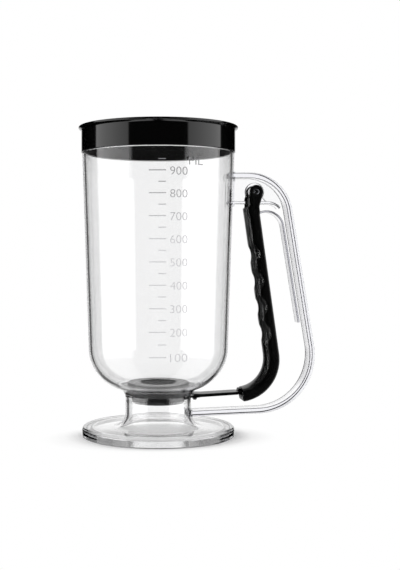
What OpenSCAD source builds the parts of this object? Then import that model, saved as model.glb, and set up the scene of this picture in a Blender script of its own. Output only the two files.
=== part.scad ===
// Pancake batter dispenser: a clear tapered jar on a hollow pedestal foot, with a push-on lid.
// Squeezing the trigger lever towards the handle draws a flat gate out from under the jar's outlet.
// Millimetres, +Z up, +X towards the handle. The origin is on the table, on the jar's axis.

/* [Jar] */
// Height from the table to the top of the lid
total_h = 200; // [190:1:225]
// Outer radius of the jar's wall just under its neck
jar_top_r = 49.6; // [48:0.1:54]
// Outer radius of the jar's wall where the bowl begins
jar_low_r = 45.4; // [43:0.1:47]
// Thickness of the jar's wall and floor
jar_wall = 2.2; // [1.8:0.1:2.8]
// Outer radius of the round corner between wall and floor
bowl_r = 28; // [22:0.5:30]
// Height of the floor's underside above the table
floor_z = 29.2; // [28.6:0.1:34]
// Height of the neck that the lid covers
jar_neck_h = 15.1; // [10:0.1:18]
// Step from the wall in to the neck
jar_neck_step = 0.9; // [0.6:0.1:1.1]

/* [Lid] */
// Thickness of the lid's skirt
lid_wall = 1.15; // [0.9:0.05:1.6]
// Thickness of the lid's top
lid_top_t = 1.6; // [1.2:0.1:2.4]
// Overhang of the lip round the lid's top
lid_lip = 1.8; // [1:0.1:3]
// Thickness of the lip at its edge
lid_lip_t = 1.1; // [0.8:0.1:1.5]

/* [Foot] */
// Distance that the foot's rim stands in from the jar's widest wall
foot_inset = 0.1; // [-3:0.1:6]
// Height of the foot's disc
foot_h = 6.4; // [6:0.1:7.2]
// Thickness of the foot's shell
foot_wall = 2.2; // [1.8:0.1:2.6]
// Width of the ring that the foot stands on
foot_ring_w = 2.6; // [2:0.1:4]
// Outer radius of the pedestal's neck, which the jar's collar shares
neck_r = 21.4; // [20.9:0.1:24]
// Radius of the flare between neck and disc
flare_r = 8.6; // [6:0.1:10]

/* [Valve] */
// Radius of the outlet that the batter runs through
outlet_r = 11.3; // [9:0.1:11.4]
// Radius of the valve body's barrel
barrel_r = 17; // [16.8:0.1:17.2]
// Radius of the valve body's flange inside the jar
valve_flange_r = 20.4; // [19.6:0.1:22]
// Thickness of that flange
valve_flange_t = 1.6; // [1.2:0.1:2.4]
// Thickness of the gasket under the flange
gasket_t = 0.5; // [0.4:0.1:0.9]
// Height of the lock nut under the jar's floor
nut_h = 1.4; // [1:0.1:1.4]
// Thickness of the sliding gate
gate_t = 2; // [1.6:0.1:2.1]
// Margin of gate beyond the outlet on every side
gate_lap = 1.7; // [1.5:0.1:1.8]
// Thickness of the spout plate under the gate
spout_t = 3.2; // [2.4:0.1:5]

/* [Valve arm] */
// Width of the arm from gate to trigger
arm_w = 12; // [10:0.5:13]
// Thickness of the arm
arm_t = 1.9; // [1.6:0.1:2.1]
// Rise of the arm from gate to trigger
arm_rise = 1.3; // [1:0.1:1.5]

/* [Handle frame] */
// Distance from the jar's neck line out to the handle's furthest point
handle_reach = 53.4; // [51:0.1:60]
// Width of the handle's flange
flange_w = 12.4; // [11:0.1:15]
// Thickness of the handle's flange
flange_t = 3.6; // [3:0.1:4]
// Distance of the flange's top below the jar's shoulder
handle_drop = 12.1; // [10:0.1:16]
// Lean of the handle's straight leg from upright, in degrees
leg_lean = 9.3; // [8.6:0.1:9.8]
// Outer radius of the handle's upper corner
upper_corner_r = 28.5; // [24:0.5:30]
// Outer radius of the handle's lower corner
lower_corner_r = 38; // [36:0.5:40]
// Distance of the handle's lower run below the gate
run_drop = 12.2; // [11.6:0.1:13]
// Slope of the handle's lower run, in degrees
run_slope = 1.6; // [1:0.1:2]
// Thickness of the web in the upper corner
web_t = 2.5; // [1.8:0.1:3.2]
// Thickness of the rib under the web
rib_t = 1.8; // [1.4:0.1:2.4]
// Width of that rib
rib_w = 9; // [7:0.1:9.6]
// Distance of the rib's top below the pivot
rib_drop = 6.1; // [5.8:0.1:6.6]
// Length of the rib beyond the pivot
rib_reach = 9.2; // [7:0.1:10.5]

// Width of the flange's flared end where it meets the jar
flare_w = 23.4; // [16:0.2:26]
// Thickness of the pads that seat the handle on the jar and the foot's neck
pad_t = 1; // [0.8:0.1:2]

/* [Trigger lever] */
// Distance of the pivot out from the jar's neck line
pivot_out = 14; // [12.5:0.1:16]
// Distance of the pivot below the flange's top
pivot_drop = 12.6; // [12:0.1:14]
// Radius of the pivot pin
pin_r = 1.75; // [1.5:0.05:2]
// Radius of the ears round the pin
ear_r = 4.6; // [4.2:0.1:5.2]
// Width of the lever
lever_w = 16; // [15:0.5:18]
// Depth of the lever from front to back
lever_depth = 9; // [8.8:0.1:9.6]
// Thickness of the lever's cheeks
cheek_t = 2.5; // [2:0.1:2.6]
// Thickness of the lever's front wall and end wall
lever_wall = 2.2; // [1.8:0.1:2.4]
// Lean of the lever from upright at rest, in degrees
lever_lean = 8; // [7.5:0.1:8.5]
// Outer radius of the heel's bend
heel_r = 27.4; // [26:0.1:28]
// Turn of the heel's bend, in degrees
heel_turn = 91; // [90:0.5:92]
// Depth of each finger scoop at its middle
scoop_depth = 1; // [0.8:0.1:1.4]
// Radius of the lever left inside a scoop
scoop_waist_r = 10.5; // [10:0.1:11.2]
// Distance from one scoop to the next
scoop_pitch = 17.35; // [16:0.05:17.5]

/* [Leaf spring] */
// Width of the spring strip
spring_w = 8.5; // [6:0.5:9.5]
// Thickness of the spring strip
spring_t = 1.4; // [1:0.1:1.8]
// Distance from the pivot down to the spring's tip
spring_drop = 85.6; // [60:0.1:90]
// Gap between the spring and the handle's leg
spring_gap = 3; // [2.6:0.1:3.6]
// Gap between the spring's crest and the rib
crest_gap = 4; // [3:0.1:5]
// Outer radius of the spring's crest
crest_r = 12; // [10:0.5:13]

/* [Fits] */
// Gap between pieces that lift off or swing past each other
seat_gap = 0.3; // [0.25:0.05:0.35]
// Gap above and below the sliding gate
gate_gap = 0.2; // [0.15:0.05:0.25]
// Radial running clearance of the pin in the lever's ears
pin_gap = 0.06; // [0.03:0.01:0.09]

/* [Hidden] */
$fn = 96;
eps = 0.01;
reach_all = 300;

foot_r = jar_top_r - foot_inset;
rim_top_w = 6;

// Heights of the jar
rim_z = total_h - lid_top_t - seat_gap;
shoulder_z = rim_z - jar_neck_h;
bowl_axis_r = jar_low_r - bowl_r;
bowl_axis_z = floor_z + bowl_r;
floor_top_z = floor_z + jar_wall;
neck_top_r = jar_top_r - jar_neck_step;
collar_fillet_r = 6.5;

// Valve stack, from the floor of the jar downwards
seat_r = valve_flange_r + 0.3;
hole_r = barrel_r + seat_gap;
flange_z = floor_top_z + gasket_t;
thread_gap = 0.05;
nut_r = neck_r - foot_wall - seat_gap;
gate_drop = 2.6;
gate_top_z = floor_z - gate_drop;
gate_z = gate_top_z - gate_t;
channel_z = gate_z - gate_gap;
channel_top_z = gate_top_z + gate_gap;
gate_r = outlet_r + gate_lap;
channel_w = 2 * (gate_r + seat_gap);
spout_z = channel_z - spout_t;
seal_in_r = outlet_r + 0.2;
seal_out_r = gate_r - 0.1;
seal_h = 1.2;
seal_z = gate_top_z + gate_gap / 2;
joint_z = channel_z - foot_wall;
spigot_h = 1.2;
spigot_r = neck_r - foot_wall / 2;

// Lap joint between gate and arm, just outside the collar
tail_w = 12;
tail_t = 1.3;
arm_step = 0.2;
tail_end = neck_r + 5;
peg_x = neck_r + 2.6;
peg_r = 1.4;
peg_gap = 0.06;

// Handle's outline: a top run, a leaning leg and a lower run, with two round corners between them
top_z = shoulder_z - handle_drop;
reach_x = jar_top_r + handle_reach;
run_start_x = neck_r;
run_start_z = gate_z - run_drop;
leg_n = [cos(leg_lean), sin(leg_lean)];
run_n = [sin(run_slope), -cos(run_slope)];
run_c = run_n * [run_start_x, run_start_z];
lower_c_x = reach_x - lower_corner_r;
lower_c_z = (run_n[0] * lower_c_x + lower_corner_r - run_c) / -run_n[1];
lower_c = [lower_c_x, lower_c_z];
leg_c = leg_n * lower_c + lower_corner_r;
upper_c_z = top_z - upper_corner_r;
upper_c = [(leg_c - upper_corner_r - leg_n[1] * upper_c_z) / leg_n[0], upper_c_z];

// Pivot and lever
pivot_x = jar_top_r + pivot_out;
pivot_z = top_z - pivot_drop;
back_u = 0.3;
front_u = back_u - lever_depth;
heel_in_r = heel_r - lever_depth;
fork_h = 9.2;
fork_set_back = 1.3;
cheek_in = lever_w / 2 - cheek_t;
corner_r = 2.6;
crown_r = 24;
back_r = 0.8;
scoop_r = 12.6;
scoop_first = 40;
scoop_count = 4;
scoop_axis_u = front_u + scoop_depth + scoop_waist_r;
grip_floor_u = scoop_axis_u - sqrt(pow(scoop_waist_r, 2) - pow(cheek_in, 2)) + 2;

// The arm passes the heel's end wall just under its front wall, which sets the heel's height and the grip's length
arm_end_z = gate_z + arm_step + arm_rise;
end_a = heel_turn - lever_lean;
arm_pass_r = heel_in_r + lever_wall + seat_gap + arm_t / 2;
heel_c_z = arm_end_z + arm_t / 2 + arm_pass_r * sin(end_a);
grip_len = (pivot_z + (back_u - heel_r) * sin(lever_lean) - heel_c_z) / cos(lever_lean);
pocket_top = scoop_first - 11;
pocket_low = grip_len - 2;
heel_c = lever_point([back_u - heel_r, -grip_len]);
end_face_top_x = heel_c[0] + heel_in_r * cos(end_a);
end_face_low_x = heel_c[0] + heel_r * cos(end_a);
slot_play_up = 0.85;
slot_play_down = 1.25;
tab_x = end_face_top_x - 0.45;
hook_x = end_face_low_x + lever_wall + 1.6;
arm_tip_w = 2 * (cheek_in - 0.5);

// Rib, hub and web of the handle frame
rib_top_z = pivot_z - rib_drop;
rib_end_x = pivot_x + rib_reach;
rib_curl_r = 10;
rib_curl_a = 39;
hub_r = 3.9;
boss_r = 6.3;
boss_w = 4;
pad_w = 14;
pad_lap = 1.6;
flare_lap = 1.3;
flare_round = 2.2;

// Leaf spring: a straight leaf beside the handle's leg, a round crest and a root that ends in the lever's channel
spring_n_c = leg_c - flange_t - spring_gap;
crest_c_z = rib_top_z - rib_t - crest_gap - crest_r;
crest_c = [(spring_n_c - crest_r - leg_n[1] * crest_c_z) / leg_n[0], crest_c_z];
spring_end_z = pivot_z - spring_drop;
root_turn = 114;
root_dir = [cos(root_turn + 90), sin(root_turn + 90)];
root_start = crest_c + crest_r * [cos(root_turn), sin(root_turn)];
root_end_u = front_u + lever_wall + 1;
lever_out = [cos(lever_lean), sin(lever_lean)];
root_len = (root_end_u - (root_start - [pivot_x, pivot_z]) * lever_out) / (root_dir * lever_out);
grip_t = 1.3;

// Points along an arc about c, from angle a0 to a1 in n steps
function arc(c, r, a0, a1, n = 12) = [for (i = [0:n]) c + r * [cos(a0 + (a1 - a0) * i / n), sin(a0 + (a1 - a0) * i / n)]];

// Outer radius of the jar's wall at height z
function wall_r(z) = jar_low_r + (jar_top_r - jar_low_r) * (z - bowl_axis_z) / (shoulder_z - bowl_axis_z);

// A point of the lever's own plane, [outwards, upwards] from the pivot, in the plane of the handle
function lever_point(p) = [pivot_x + p[0] * cos(lever_lean) - p[1] * sin(lever_lean),
                           pivot_z + p[0] * sin(lever_lean) + p[1] * cos(lever_lean)];

// Outer fillet between the bowl and the collar: its centre stands off both by its radius
fillet_c_r = neck_r + collar_fillet_r;
fillet_c_z = bowl_axis_z - sqrt(pow(bowl_r + collar_fillet_r, 2) - pow(fillet_c_r - bowl_axis_r, 2));
fillet_a = atan2(bowl_axis_z - fillet_c_z, bowl_axis_r - fillet_c_r);

// A plate of the handle's plane, w wide and centred on it
module plate(points, w) {
    rotate([90, 0, 0])
        translate([0, 0, -w / 2])
            linear_extrude(w)
                polygon(points);
}

// A cylinder along Y, centred on the handle's plane
module cross_pin(x, z, r, w) {
    translate([x, w / 2, z])
        rotate([90, 0, 0])
            cylinder(r = r, h = w);
}

// A ring about the jar's axis
module ring(r_out, r_in, z, h) {
    translate([0, 0, z])
        difference() {
            cylinder(r = r_out, h = h);
            translate([0, 0, -eps])
                cylinder(r = r_in, h = h + 2 * eps);
        }
}

// A box from its lowest corner to its highest
module block(lo, hi) {
    translate(lo)
        cube(hi - lo);
}

// Outer outline of jar and collar, revolved; solid, for cutting what seats on it
module jar_outer() {
    rotate_extrude()
        polygon(concat([[0, joint_z], [neck_r, joint_z]],
                       arc([fillet_c_r, fillet_c_z], collar_fillet_r, 180, fillet_a, 8),
                       arc([bowl_axis_r, bowl_axis_z], bowl_r, fillet_a - 180, 0, 20),
                       [[jar_top_r, shoulder_z], [0, shoulder_z]]));
}

// Inside of the jar above its floor, revolved
module jar_inner() {
    in_r = bowl_r - jar_wall;
    seat_rise_a = acos((seat_r - bowl_axis_r) / in_r);
    rotate_extrude()
        polygon(concat([[0, floor_top_z], [seat_r, floor_top_z]],
                       arc([bowl_axis_r, bowl_axis_z], in_r, -seat_rise_a, 0, 18),
                       [[jar_top_r - jar_wall, shoulder_z], [jar_top_r - jar_wall, rim_z + 1], [0, rim_z + 1]]));
}

module jar() {
    rim_round = 0.5;
    color([0.93, 0.95, 1.0, 0.3])
        difference() {
            union() {
                jar_outer();
                rotate_extrude()
                    polygon([[0, shoulder_z - eps], [neck_top_r, shoulder_z - eps], [neck_top_r, rim_z - rim_round],
                             [neck_top_r - rim_round, rim_z], [0, rim_z]]);
            }
            jar_inner();
            translate([0, 0, floor_z - eps])
                cylinder(r = hole_r, h = 2 * jar_wall);
            translate([0, 0, joint_z - eps])
                cylinder(r = neck_r - foot_wall, h = floor_z - joint_z + eps);
            translate([0, 0, joint_z - eps])
                cylinder(r = spigot_r + thread_gap, h = spigot_h + 2 * thread_gap);
            block([0, -channel_w / 2, channel_z], [neck_r + 9, channel_w / 2, channel_top_z]);
        }
}

module lid() {
    skirt_in = neck_top_r + seat_gap - thread_gap;
    skirt_r = skirt_in + lid_wall;
    skirt_z = shoulder_z + seat_gap;
    plate_z = total_h - lid_top_t;
    lip_r = skirt_r + lid_lip;
    edge_round = 0.4;
    color([0.03, 0.03, 0.03])
        rotate_extrude()
            polygon([[0, total_h], [lip_r - edge_round, total_h], [lip_r, total_h - edge_round],
                     [lip_r, total_h - lid_lip_t], [skirt_r, plate_z - lid_lip_t + 0.2], [skirt_r, skirt_z + edge_round],
                     [skirt_r - edge_round, skirt_z], [skirt_in, skirt_z], [skirt_in, plate_z], [0, plate_z]]);
}

// Outer outline of the foot, revolved; solid, for cutting the handle's lower end
module foot_outer() {
    rim_round = 2.2;
    flare_c = [neck_r + flare_r, foot_h - 0.6 + flare_r];
    rotate_extrude()
        polygon(concat([[0, 0], [foot_r - rim_round / 2, 0], [foot_r, rim_round / 2]],
                       arc([foot_r - rim_round, foot_h - rim_round], rim_round, 0, 90, 5),
                       arc(flare_c, flare_r, -90, -180, 10),
                       [[neck_r, joint_z], [0, joint_z]]));
}

module foot_inner() {
    ceiling_z = foot_h - foot_wall;
    ceiling_r = foot_r - rim_top_w;
    flare_in_r = flare_r + foot_wall;
    flare_c = [neck_r + flare_r, foot_h - 0.6 + flare_r];
    rotate_extrude()
        polygon(concat([[0, -1], [foot_r - foot_ring_w, -1], [foot_r - foot_ring_w, 0],
                        [ceiling_r + 0.4, ceiling_z - 0.3], [ceiling_r - 0.4, ceiling_z]],
                       arc(flare_c, flare_in_r, -90, -180, 10),
                       [[neck_r - foot_wall, joint_z + spigot_h + 1], [0, joint_z + spigot_h + 1]]));
}

module foot() {
    color([0.93, 0.95, 1.0, 0.3])
        difference() {
            union() {
                foot_outer();
                cylinder(r = spigot_r, h = joint_z + spigot_h);
            }
            foot_inner();
        }
}

// Outline of the handle's strip at depth d inside its outer face
function strip_edge(d) =
    concat([[0, top_z - d]],
           arc(upper_c, upper_corner_r - d, 90, leg_lean, 12),
           arc(lower_c, lower_corner_r - d, leg_lean, run_slope - 90, 16),
           [run_n * (run_c - d)]);

// Joins two edges of a strip into one closed outline
function closed(a, b) = concat(a, [for (i = [len(b) - 1:-1:0]) b[i]]);

module handle_strip() {
    plate(closed(strip_edge(0), strip_edge(flange_t)), flange_w);
}

// Web in the upper corner, from the jar's wall to the strip
module handle_web() {
    plate(concat([[0, rib_top_z - rib_t / 2], [0, top_z - flange_t / 2]],
                 arc(upper_c, upper_corner_r - flange_t / 2, 90, leg_lean + 12, 12),
                 [[rib_end_x, rib_top_z - rib_t]]),
          web_t);
}

module handle_rib() {
    curl_c = [rib_end_x, rib_top_z - rib_curl_r];
    plate(closed(concat([[0, rib_top_z]], arc(curl_c, rib_curl_r, 90, rib_curl_a, 6)),
                 concat([[0, rib_top_z - rib_t]], arc(curl_c, rib_curl_r - rib_t, 90, rib_curl_a, 6))),
          rib_w);
}

// Small gusset on the web between hub and rib
module handle_gusset() {
    back_x = pivot_x + 2;
    plate([[back_x, rib_top_z - eps], [rib_end_x - 1, rib_top_z - eps], [back_x, rib_top_z + 6.6]], rib_w - 3);
}

// The jar's tapered wall grown by the pads' thickness
module pad_skin() {
    rotate_extrude()
        polygon([[0, bowl_axis_z], [wall_r(bowl_axis_z) + pad_t, bowl_axis_z],
                 [wall_r(top_z) + pad_t, top_z], [0, top_z]]);
}

// Thin curved pads where the handle lies on the jar and on the neck, and the flange's flared end over the upper one
module handle_pads() {
    upper_z = rib_top_z - rib_t - pad_lap;
    flare_h = flange_t + flare_lap;
    c_y = flare_w / 2 - flare_round;
    c_z = flare_h - flare_round;
    intersection() {
        pad_skin();
        union() {
            block([0, -pad_w / 2, upper_z], [reach_all, pad_w / 2, top_z]);
            translate([0, 0, top_z - flare_h])
                rotate([90, 0, 90])
                    linear_extrude(reach_all)
                        polygon(concat(arc([c_y, c_z], flare_round, 0, 90, 5),
                                       arc([-c_y, c_z], flare_round, 90, 180, 5),
                                       arc([-c_y, flare_round], flare_round, 180, 270, 5),
                                       arc([c_y, flare_round], flare_round, 270, 360, 5)));
        }
    }
    intersection() {
        translate([0, 0, run_start_z - 0.4])
            cylinder(r = neck_r + pad_t, h = flange_t + 1);
        block([0, -pad_w / 2, 0], [reach_all, pad_w / 2, floor_z]);
    }
}

module handle_frame() {
    color([0.93, 0.95, 1.0, 0.3])
        difference() {
            union() {
                handle_strip();
                handle_web();
                handle_rib();
                handle_gusset();
                handle_pads();
                cross_pin(pivot_x, pivot_z, boss_r, boss_w);
                cross_pin(pivot_x, pivot_z, hub_r, 2 * (cheek_in - seat_gap));
            }
            jar_outer();
            translate([0, 0, bowl_axis_z])
                cylinder(r = jar_low_r - jar_wall, h = reach_all);
            foot_outer();
            cross_pin(pivot_x, pivot_z, pin_r + thread_gap / 2, lever_w);
        }
}

module valve_body() {
    round_r = 1.6;
    mouth = 1.1;
    flange_top_z = flange_z + valve_flange_t;
    color([0.05, 0.05, 0.05])
        difference() {
            rotate_extrude()
                polygon(concat([[outlet_r, spout_z]],
                               arc([barrel_r - round_r, spout_z + round_r], round_r, -90, 0, 5),
                               [[barrel_r, flange_z], [valve_flange_r, flange_z],
                                [valve_flange_r, flange_top_z - 0.7], [valve_flange_r - 0.9, flange_top_z],
                                [outlet_r + mouth, flange_top_z], [outlet_r, flange_top_z - mouth]]));
            intersection() {
                block([-gate_r - seat_gap, -channel_w / 2, channel_z], [barrel_r + 1, channel_w / 2, channel_top_z]);
                union() {
                    cylinder(r = gate_r + seat_gap, h = floor_z);
                    block([0, -channel_w / 2, 0], [barrel_r + 1, channel_w / 2, floor_z]);
                }
            }
            translate([0, 0, channel_top_z - eps])
                cylinder(r = seal_out_r, h = seal_z + seal_h - channel_top_z + eps);
        }
}

module floor_gasket() {
    color([0.35, 0.35, 0.36])
        ring(valve_flange_r - 0.3, hole_r + 0.1, floor_top_z, gasket_t);
}

// Ring nut on the barrel that clamps the floor against the flange
module valve_nut() {
    color([0.05, 0.05, 0.05])
        ring(nut_r, barrel_r + thread_gap, floor_z - nut_h, nut_h);
}

module gate_seal() {
    color([0.45, 0.45, 0.46])
        ring(seal_out_r, seal_in_r, seal_z, seal_h);
}

module gate_plate() {
    shoulder_x = gate_r + 3;
    neck_x = neck_r - 1;
    color([0.05, 0.05, 0.05])
        difference() {
            translate([0, 0, gate_z])
                linear_extrude(gate_t) {
                    circle(r = gate_r);
                    polygon([[0, -gate_r], [shoulder_x, -gate_r], [neck_x, -tail_w / 2], [tail_end, -tail_w / 2],
                             [tail_end, tail_w / 2], [neck_x, tail_w / 2], [shoulder_x, gate_r], [0, gate_r]]);
                }
            block([neck_x, -tail_w, gate_z + tail_t], [tail_end + 1, tail_w, gate_top_z + 1]);
            translate([peg_x, 0, gate_z - 1])
                cylinder(r = peg_r + peg_gap, h = gate_t + 2, $fn = 48);
        }
}

// Flat arm: a stepped lap and a snap peg on the gate's tail, a tab outside the lever's end wall, a hook inside it
module valve_arm() {
    lap_z = gate_z + tail_t;
    lap_x = neck_r + 1.2;
    body_x = tail_end + 0.1;
    body_z = gate_z + arm_step;
    bend_x = tab_x - 1.6;
    end_z = arm_end_z;
    hook_drop = 2.2;
    hook_t = 1.4;
    tab_h = 1.8;
    tab_t = 0.9;
    tab_w = 5;
    barb_r = peg_r + 0.4;
    color([0.05, 0.05, 0.05]) {
        plate([[lap_x, lap_z], [body_x, lap_z], [body_x, body_z], [bend_x, end_z], [bend_x, end_z + arm_t],
               [body_x + 2, body_z + arm_t + 0.2], [lap_x + 0.4, lap_z + 1.2], [lap_x, lap_z + 0.9]],
              arm_w);
        plate([[bend_x - eps, end_z], [hook_x, end_z], [hook_x + 0.3, end_z - hook_drop],
               [hook_x + hook_t, end_z], [hook_x + hook_t, end_z + arm_t], [bend_x - eps, end_z + arm_t]],
              arm_tip_w);
        plate([[tab_x - tab_t - 0.5, end_z + arm_t - eps], [tab_x, end_z + arm_t - eps],
               [tab_x, end_z + arm_t + tab_h], [tab_x - tab_t, end_z + arm_t + tab_h]],
              tab_w);
        translate([peg_x, 0, 0])
            rotate_extrude($fn = 48)
                polygon([[0, gate_z - 2.1], [0.9, gate_z - 2.1], [barb_r, gate_z - 0.8],
                         [barb_r, gate_z - 0.4], [peg_r, gate_z - 0.4], [peg_r, lap_z + 0.5], [0, lap_z + 0.5]]);
    }
}

// Moves what is drawn in the lever's own frame to its place: X outwards, Z upwards, pivot at the origin
module in_lever_frame() {
    translate([pivot_x, 0, pivot_z])
        rotate([0, -lever_lean, 0])
            children();
}

// Cross-section of the lever, [outwards, across], from a crowned front at f to a flat back at b
function lever_section(f, b, half_w) =
    let (dc = crown_r - corner_r, yc = half_w - corner_r, crown_a = asin(yc / dc),
         xc = f + crown_r - dc * cos(crown_a))
    concat(arc([xc, -yc], corner_r, 180 + crown_a, 270, 4),
           arc([b - back_r, back_r - half_w], back_r, 270, 360, 2),
           arc([b - back_r, half_w - back_r], back_r, 0, 90, 2),
           arc([xc, yc], corner_r, 90, 180 - crown_a, 4),
           arc([f + crown_r, 0], crown_r, 180 - 0.75 * crown_a, 180 + 0.75 * crown_a, 6));

// The heel's bend: turns what lies at radius [r, across] about the heel's centre, from angle a0 to a1
module heel_sweep(a0, a1) {
    translate([back_u - heel_r, 0, -grip_len])
        rotate([-90, 0, 0])
            rotate([0, 0, a0])
                rotate_extrude(angle = a1 - a0)
                    children();
}

module lever_cheeks_outline() {
    low = -fork_h - 5;
    rotate([90, 0, 0])
        translate([0, 0, -lever_w / 2])
            linear_extrude(lever_w)
                polygon(concat(arc([0, 0], ear_r, -20, 186, 20),
                               [[front_u + fork_set_back + 0.5, -fork_h * 0.55], [front_u + fork_set_back, -fork_h - 0.2],
                                [front_u + fork_set_back, low], [back_u + 0.3, low], [back_u + 0.3, -fork_h - 0.6]]));
}

module lever_solid() {
    translate([0, 0, -grip_len])
        linear_extrude(grip_len - fork_h)
            polygon(lever_section(front_u, back_u, lever_w / 2));
    intersection() {
        lever_cheeks_outline();
        translate([0, 0, -grip_len])
            linear_extrude(grip_len + ear_r + 1)
                polygon(lever_section(front_u + fork_set_back, ear_r + 1, lever_w / 2));
    }
    heel_sweep(0, heel_turn)
        polygon(lever_section(heel_in_r, heel_r, lever_w / 2));
}

// Hollow between the cheeks, open at the back: deep at the fork and heel, shallow behind the scoops
module lever_hollow() {
    deep_u = front_u + lever_wall;
    fork_top = ear_r + 1;
    wall_a = lever_wall / (heel_r - lever_depth / 2) * 180 / PI;
    block([front_u - 1, -cheek_in, -fork_h], [ear_r + 1, cheek_in, fork_top]);
    block([deep_u, -cheek_in, -pocket_top], [ear_r + 1, cheek_in, -fork_h + eps]);
    block([grip_floor_u, -cheek_in, -pocket_low - eps], [back_u + 1, cheek_in, -pocket_top + eps]);
    block([deep_u, -cheek_in, -grip_len - eps], [back_u + 1, cheek_in, -pocket_low]);
    heel_sweep(0, heel_turn - wall_a)
        translate([heel_in_r + lever_wall, -cheek_in])
            square([lever_depth, 2 * cheek_in]);
}

// Finger scoops: each is a ring-shaped cut, deeper at the lever's sides than at its middle
module lever_scoops() {
    for (i = [0:scoop_count - 1])
        translate([scoop_axis_u, 0, -scoop_first - i * scoop_pitch])
            rotate_extrude($fn = 72)
                translate([scoop_waist_r + scoop_r, 0])
                    circle(r = scoop_r, $fn = 48);
}

// Two ribs across the pocket that grip the leaf spring's root
module spring_socket() {
    intersection() {
        spring_root_block();
        in_lever_frame()
            block([front_u + 1, -cheek_in - eps, -pocket_top], [back_u - 1.2, cheek_in + eps, -fork_h - 1]);
    }
}

module spring_root_block() {
    difference() {
        plate(spring_outline(root_len + grip_t, grip_t, root_turn), lever_w - cheek_t);
        plate(spring_outline(root_len + 3 * grip_t, thread_gap, 90), spring_w + 2 * thread_gap);
    }
}

module trigger_lever() {
    slot_z = arm_end_z - slot_play_down;
    slot_top_z = arm_end_z + arm_t + slot_play_up;
    color([0.06, 0.06, 0.06])
        difference() {
            union() {
                difference() {
                    in_lever_frame()
                        lever_solid();
                    in_lever_frame()
                        lever_hollow();
                }
                spring_socket();
            }
            in_lever_frame()
                lever_scoops();
            block([end_face_top_x - 2, -cheek_in, slot_z], [end_face_low_x + lever_wall + 1, cheek_in, slot_top_z]);
            cross_pin(pivot_x, pivot_z, pin_r + pin_gap, lever_w + 2);
        }
}

module pivot_pin() {
    dome_h = 0.5;
    half = lever_w / 2;
    color([0.78, 0.78, 0.8])
        translate([pivot_x, 0, pivot_z])
            rotate([90, 0, 0])
                rotate_extrude()
                    polygon([[0, -half - dome_h], [pin_r - 0.6, -half - dome_h], [pin_r, -half],
                             [pin_r, half], [pin_r - 0.6, half + dome_h], [0, half + dome_h]]);
}

// Outline of the spring strip from its root, l long, round the crest to angle a_low, grown by g on both sides
function spring_outline(l, g, a_low) =
    let (ro = crest_r + g, ri = crest_r - spring_t - g,
         out_end = crest_c + ro * [cos(root_turn), sin(root_turn)] + l * root_dir,
         in_end = crest_c + ri * [cos(root_turn), sin(root_turn)] + l * root_dir)
    closed(concat([out_end], arc(crest_c, ro, root_turn, a_low, 12)),
           concat([in_end], arc(crest_c, ri, root_turn, a_low, 12)));

module leaf_spring() {
    dir = [leg_n[1], -leg_n[0]];
    leaf_len = (crest_c[1] + crest_r * sin(leg_lean) - spring_end_z) / leg_n[0];
    outer = crest_c + crest_r * leg_n;
    inner = crest_c + (crest_r - spring_t) * leg_n;
    color([0.93, 0.95, 1.0, 0.4]) {
        plate(spring_outline(root_len, 0, leg_lean), spring_w);
        plate([inner, outer, outer + leaf_len * dir, inner + leaf_len * dir], spring_w);
    }
}

jar();
lid();
foot();
handle_frame();
valve_body();
floor_gasket();
valve_nut();
gate_seal();
gate_plate();
valve_arm();
trigger_lever();
pivot_pin();
leaf_spring();
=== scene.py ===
import math

import bmesh
import bpy
from bpy.props import FloatProperty, FloatVectorProperty, IntProperty, PointerProperty
from mathutils import Matrix, Vector
from mathutils.kdtree import KDTree


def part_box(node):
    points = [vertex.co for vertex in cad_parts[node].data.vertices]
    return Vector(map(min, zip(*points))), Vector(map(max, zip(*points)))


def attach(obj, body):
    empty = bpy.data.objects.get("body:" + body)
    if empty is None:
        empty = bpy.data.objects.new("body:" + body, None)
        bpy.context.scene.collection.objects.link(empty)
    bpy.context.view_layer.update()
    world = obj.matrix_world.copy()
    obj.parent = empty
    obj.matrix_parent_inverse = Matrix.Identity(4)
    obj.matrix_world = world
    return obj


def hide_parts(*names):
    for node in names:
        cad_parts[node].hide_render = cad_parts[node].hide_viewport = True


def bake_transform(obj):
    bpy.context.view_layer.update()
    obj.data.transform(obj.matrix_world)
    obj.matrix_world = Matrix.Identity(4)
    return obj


bl_info = {
    "name": "Batter Dispenser",
    "version": (1, 0, 0),
    "blender": (4, 5, 0),
    "location": "View3D > Sidebar > Dispenser",
    "description": "Builds the visible pieces of a pancake batter dispenser on its packed frame",
    "category": "Add Mesh",
}

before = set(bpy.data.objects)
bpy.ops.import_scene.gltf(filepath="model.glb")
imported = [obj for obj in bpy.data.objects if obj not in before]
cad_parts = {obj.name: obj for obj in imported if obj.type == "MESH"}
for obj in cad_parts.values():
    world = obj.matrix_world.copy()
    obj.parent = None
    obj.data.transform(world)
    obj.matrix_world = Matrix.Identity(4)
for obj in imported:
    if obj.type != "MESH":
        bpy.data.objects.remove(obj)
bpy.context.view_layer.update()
JAR_LOW, JAR_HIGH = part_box("jar")
LID_LOW, LID_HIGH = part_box("lid")
FOOT_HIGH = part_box("foot")[1]
HANDLE_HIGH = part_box("handle_frame")[1]
SPRING_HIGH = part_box("leaf_spring")[1]

UP = Vector((0, 0, 1))
MM = 0.001
WELD = 1e-7                                     # points closer than this are one
AIR = 0.00003                                   # keeps the faces of fixed pieces from lying in one another
CRISP, EASED, ROUNDED = 0.0003, 0.0004, 0.0006  # setbacks of moulded corners
WALL_INSIDE, NECK_INSIDE = 0.040, 0.016         # where the handle's parts start, inside what they are cut to
RIM_STEPS = 192                                 # faces once round the lid and the foot


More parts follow.
